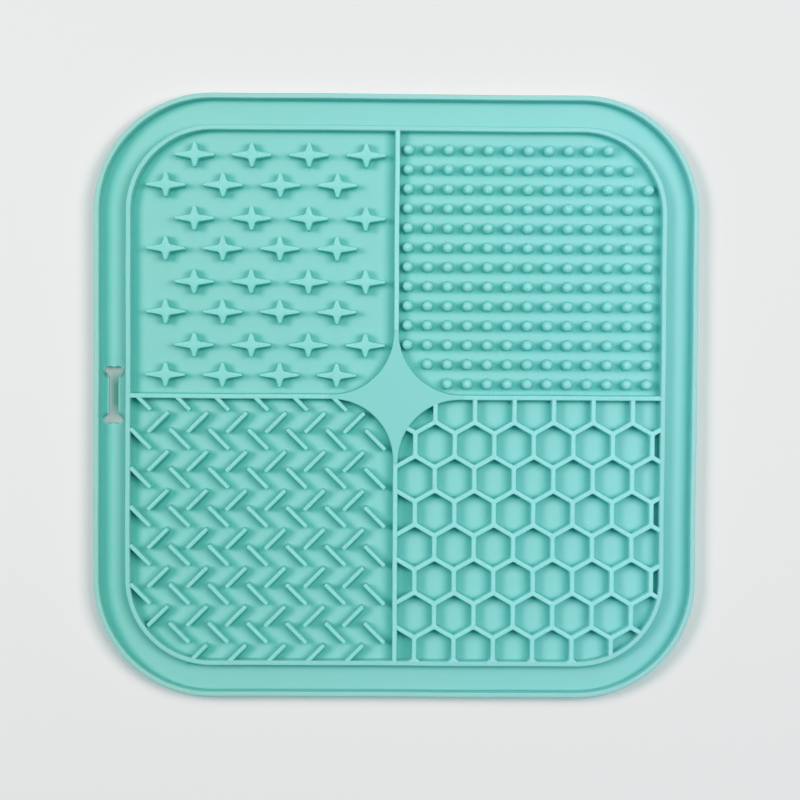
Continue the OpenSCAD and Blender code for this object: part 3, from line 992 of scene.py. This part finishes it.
def strut(start, angle, from_t, to_t, mitre_a, mitre_b):
    """One strut of the web along its axis. Its stations carry the ridge's section, a little wider
    at a corner of the web, and at a mitred end each point steps back with its distance from the
    axis, so that three struts meet on the planes between them."""
    half = np.concatenate([WEB_EDGE, [[0, WEB_Z]]])
    section = np.concatenate([half, half[-2::-1] * [-1, 1], [[0, FLOOR_Z - SINK]]])
    t = np.array([from_t, from_t + (CORNER_STATION if mitre_a else END_STATION),
                  to_t - (CORNER_STATION if mitre_b else END_STATION), to_t])
    widen = np.array([CORNER_WIDER if mitre_a else 1.0, 1.0, 1.0,
                      CORNER_WIDER if mitre_b else 1.0])
    slope = np.array([mitre_a, mitre_a, -mitre_b, -mitre_b]) / math.sqrt(3)
    across = section[None, :, 0] * widen[:, None]
    along = t[:, None] + slope[:, None] * np.abs(across)
    c, s = heading(angle)
    rings = np.empty((len(t), len(section), 3))
    rings[..., 0] = HALF_DIVIDER + start[0] + along * c - across * s
    rings[..., 1] = -(HALF_DIVIDER + start[1] + along * s + across * c)
    rings[..., 2] = section[None, :, 1]
    first, last = rings[[0, -1]].mean(1)
    return tube(rings, None if mitre_a else first, None if mitre_b else last)


def web():
    """Every strut of the lattice that lies in the well, cut at the middle of the wall's thickness.
    Each cell gives its upright strut to the east and the two that meet in its south corner."""
    made = []
    t = np.linspace(0, CELL_EDGE, 304)
    for row in range(10):
        for column in range(9):
            u = -HALF_DIVIDER + (column + (1 - row % 2) / 2) * CELL
            v = CELL_V + (row - 1) * CELL_PV
            for du, dv, angle in ((0.5, -0.5, 90), (0, 1, -30), (-0.5, 0.5, 30)):
                start = (u + du * CELL, v + dv * CELL_EDGE)
                c, s = heading(angle)
                space = room(start[0] + t * c, start[1] + t * s)
                inside = t[space > -STRUT_IN_WALL]
                if len(inside) < FEWEST_STATIONS:
                    continue
                free_a = float(inside[0] == t[0] and space[0] > STRUT_FREE)
                free_b = float(inside[-1] == t[-1] and space[-1] > STRUT_FREE)
                made.append(strut(start, angle, inside[0], inside[-1], free_a, free_b))
    return made


def weld(piece):
    """Joins the struts where their mitred ends share points, and smooths over the joins."""
    work = bmesh.new()
    work.from_mesh(piece.data)
    bmesh.ops.remove_doubles(work, verts=work.verts, dist=2e-6)
    work.to_mesh(piece.data)
    work.free()
    piece.data.set_sharp_from_angle(angle=math.radians(WEB_SHARP_DEG))


weld(build("honeycomb_web", web(), ["honeycomb_posts", "honeycomb_rises", "honeycomb_falls"],
           web_skin))


# Table, lamps and surroundings

# The board's own measures are in metres, as its material reads them
BOARD_HALF, FRONT_Y = 4.0, 0.13
SHADE_END = (0.0365, 0.0355)
STREAK_X, STREAK_MIDDLE_Y, STREAK_END = (-0.0950, -0.0937), 0.0003, (0.0092, 0.0030)
GLOW_WAY = (0.3, 1.3)
BOARD, LIT_BOARD_FRONT = (0.805, 0.808, 0.812, 1), (0.865, 0.838, 0.842, 1)
# Painted shade under the mat, and its darker streak in the hole's shaft
SHAFT_SHADE, SHAFT_SHADE_STREAK = (0.60, 0.66, 0.65, 1), (0.122, 0.377, 0.318, 1)
BLACK, FAR_GLOW = (0, 0, 0, 1), (0.71, 0.52, 0.53, 1)


def table():
    """A wide flat sheet of matt white board under the mat."""
    mesh = bpy.data.meshes.new("table")
    h = BOARD_HALF
    mesh.from_pydata([(-h, -h, 0), (h, -h, 0), (h, h, 0), (-h, h, 0)], [], [(0, 1, 2, 3)])
    board = bpy.data.objects.new("table", mesh)
    bpy.context.collection.objects.link(board)
    material = bpy.data.materials.new("white_board")
    material.use_nodes = True
    tree = material.node_tree
    shader = tree.nodes["Principled BSDF"]
    place = on_object(tree)
    axes = add(tree, "ShaderNodeSeparateXYZ", Vector=place)
    # Towards the front the board is painted a little lighter and warmer: painted light
    front = ramp(tree, axes.outputs["Y"], FRONT_Y, -FRONT_Y, high=0.7)
    clouds = noise(tree, place, scale=3.0, detail=1.0)
    share = reckon(tree, "MULTIPLY_ADD", clouds, 0.3, front)
    open_board = blend(tree, share, BOARD, LIT_BOARD_FRONT)
    # Under the mat the board is painted in shade, which shows through the hanging hole: the way
    # beyond the core square ends a little inside the lip
    out = reckon_vector(tree, "ABSOLUTE", place)
    out = reckon_vector(tree, "SUBTRACT", out, (CORE * MM, CORE * MM, 0))
    out = reckon_vector(tree, "MAXIMUM", out, (0, 0, 0))
    under = ramp(tree, length(tree, out), *SHADE_END)
    # In the hole's shaft the painted shade takes on the mat's own colour towards the east side
    east = ramp(tree, axes.outputs["X"], *STREAK_X)
    from_middle = reckon(tree, "SUBTRACT", axes.outputs["Y"], STREAK_MIDDLE_Y)
    along = ramp(tree, reckon(tree, "ABSOLUTE", from_middle), *STREAK_END)
    streak = reckon(tree, "MULTIPLY", east, along)
    shaded = blend(tree, under, open_board, blend(tree, streak, SHAFT_SHADE, SHAFT_SHADE_STREAK))
    # Far from the mat, past the lamps' reach, the board glows as pale as it is near the mat
    away = ramp(tree, length(tree, place), *GLOW_WAY, ease="SMOOTHSTEP")
    tree.links.new(blend(tree, away, BLACK, FAR_GLOW), shader.inputs["Emission Color"])
    tree.links.new(shaded, shader.inputs["Base Color"])
    shader.inputs["Emission Strength"].default_value = 1.0
    shader.inputs["Roughness"].default_value = 0.7
    shader.inputs["Specular IOR Level"].default_value = 0.2
    mesh.materials.append(material)


def softbox(name, azimuth, elevation, distance, size, power, colour):
    """A rectangular lamp that faces the mat from an azimuth, counted anticlockwise from +X."""
    data = bpy.data.lights.new(name, "AREA")
    data.shape = "RECTANGLE"
    data.size, data.size_y = size
    data.energy = power
    data.color = colour
    lamp = bpy.data.objects.new(name, data)
    (east, north), (level, up) = heading(azimuth), heading(elevation)
    lamp.location = Vector((east * level, north * level, up)) * distance
    lamp.rotation_mode = "QUATERNION"
    lamp.rotation_quaternion = lamp.location.to_track_quat("Z", "Y")
    bpy.context.collection.objects.link(lamp)


def surroundings(ambient, colour, backdrop):
    """Even low light from all round, and a pale backdrop where the camera or a ray through a
    surface sees past the table."""
    world = bpy.data.worlds.new("studio")
    bpy.context.scene.world = world
    world.use_nodes = True
    tree = world.node_tree
    tree.nodes.clear()
    path = add(tree, "ShaderNodeLightPath").outputs
    seen = reckon(tree, "MAXIMUM", path["Is Camera Ray"], path["Is Transmission Ray"])
    light = add(tree, "ShaderNodeBackground", Color=(*colour, 1), Strength=ambient)
    view = add(tree, "ShaderNodeBackground", Color=(0.97, 0.985, 1, 1), Strength=backdrop)
    mixed = add(tree, "ShaderNodeMixShader", i0=seen, i1=light.outputs[0], i2=view.outputs[0])
    add(tree, "ShaderNodeOutputWorld", i0=mixed.outputs[0])


table()
softbox("lamp_left", WEST, elevation=50.5, distance=1.15, size=(0.5, 0.385), power=6.6,
        colour=(1.0, 0.74, 0.745))
softbox("lamp_right", EAST, elevation=58, distance=1.2, size=(0.55, 0.6), power=8.3,
        colour=(1.0, 0.775, 0.78))
softbox("lamp_back", NORTH, elevation=62, distance=1.2, size=(0.6, 0.5), power=1.8,
        colour=(1.0, 0.76, 0.765))
surroundings(ambient=0.275, colour=(0.08, 1.0, 0.98), backdrop=0.5)

bpy.context.scene.view_settings.view_transform = "Standard"
